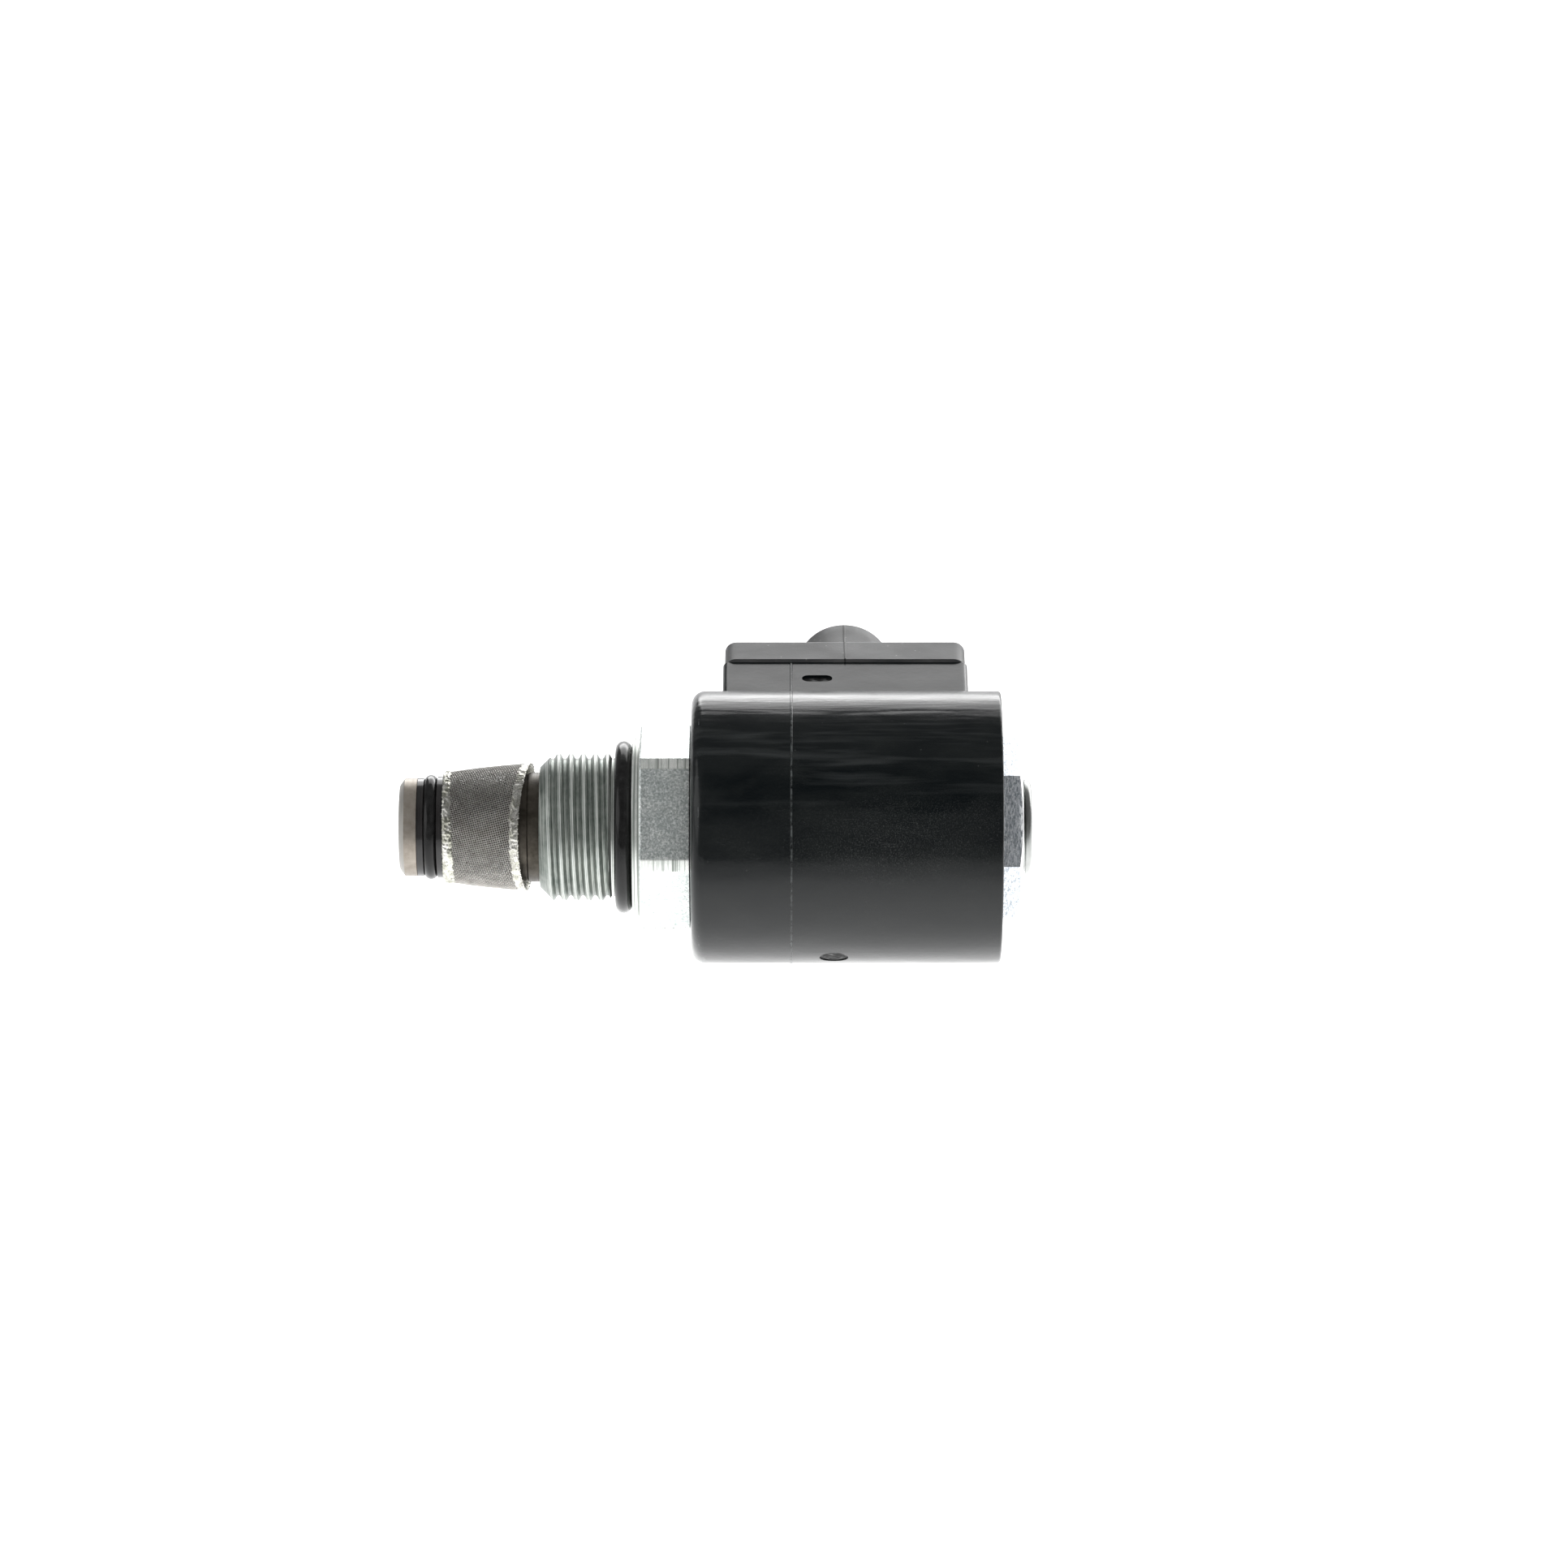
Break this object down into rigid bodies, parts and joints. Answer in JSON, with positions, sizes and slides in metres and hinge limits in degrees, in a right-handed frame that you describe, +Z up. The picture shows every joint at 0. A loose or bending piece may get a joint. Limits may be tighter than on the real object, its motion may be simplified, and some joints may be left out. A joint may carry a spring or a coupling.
{
  "type": "solenoid cartridge valve",
  "caption": "Screw-in hydraulic cartridge valve: threaded hex body with a screened nose and seals, a sliding spool and armature, and a round solenoid coil with a two-pin receptacle.",
  "frame": {"origin": "on the valve axis, in the plane of the washer face that seats on the manifold", "axes": "+X along the valve axis from the seat towards the coil, -X into the cavity; +Y along the electrical receptacle; +Z up"},
  "size_m": [0.082, 0.0579, 0.0356],
  "materials": {
    "cage_steel": "satin",
    "zinc_steel": "satin",
    "tube_steel": "satin",
    "core_steel": "satin",
    "spring_steel": "satin",
    "screen_mesh": "satin",
    "seal_rubber": "gloss",
    "backup_plastic": "satin",
    "shim_brass": "satin",
    "flux_steel": "satin",
    "overmould": "gloss",
    "receptacle": "satin",
    "bobbin_plastic": "matte",
    "copper": "satin",
    "pin_plating": "polished"
  },
  "bodies": {
    "cartridge": {"cage": "cage_steel", "nose_backup_front": "backup_plastic", "nose_o_ring": "seal_rubber", "nose_backup_rear": "backup_plastic", "filter_screen": "screen_mesh", "valve_body": "zinc_steel", "shoulder_o_ring": "seal_rubber", "tube_o_ring": "seal_rubber", "guide_tube": "tube_steel", "tube_retainer": "zinc_steel", "armature_stop": "core_steel", "pole_piece": "core_steel", "residual_shim": "shim_brass", "return_spring": "spring_steel"},
    "spool_set": {"spool": "core_steel", "link_pin": "core_steel", "armature": "core_steel"},
    "coil": {"coil_housing": "overmould", "flux_washer_front": "flux_steel", "flux_washer_rear": "flux_steel", "flux_sleeve": "flux_steel", "bobbin": "bobbin_plastic", "winding": "copper", "coil_seal_front": "seal_rubber", "coil_seal_rear": "seal_rubber", "connector_body": "receptacle", "terminal_pins": "pin_plating", "terminal_leads": "copper"},
    "nut_seal_ring": {"nut_seal": "seal_rubber"},
    "nut": {"coil_nut": "zinc_steel"}
  },
  "joints": [
    {"name": "spool_stroke", "type": "slide", "parent": "cartridge", "child": "spool_set", "axis": [1, 0, 0], "range_m": [0, 0.002], "stiffness_N_per_m": 3300, "springref_m": -0.003, "deforming": ["return_spring"]},
    {"name": "coil_swivel", "type": "hinge", "parent": "cartridge", "child": "coil", "pos_m": [0.0277, 0, 0], "axis": [1, 0, 0], "continuous": true},
    {"name": "nut_travel", "type": "slide", "parent": "cartridge", "child": "nut_seal_ring", "axis": [1, 0, 0], "range_m": [0, 0.00382]},
    {"name": "nut_turn", "type": "hinge", "parent": "nut_seal_ring", "child": "nut", "pos_m": [0.0492, 0, 0], "axis": [1, 0, 0], "range_deg": [0, 1080]}
  ],
  "couplings": [
    {"joint": "nut_travel", "follows": "nut_turn", "m_per_rad": 0.00020213}
  ]
}
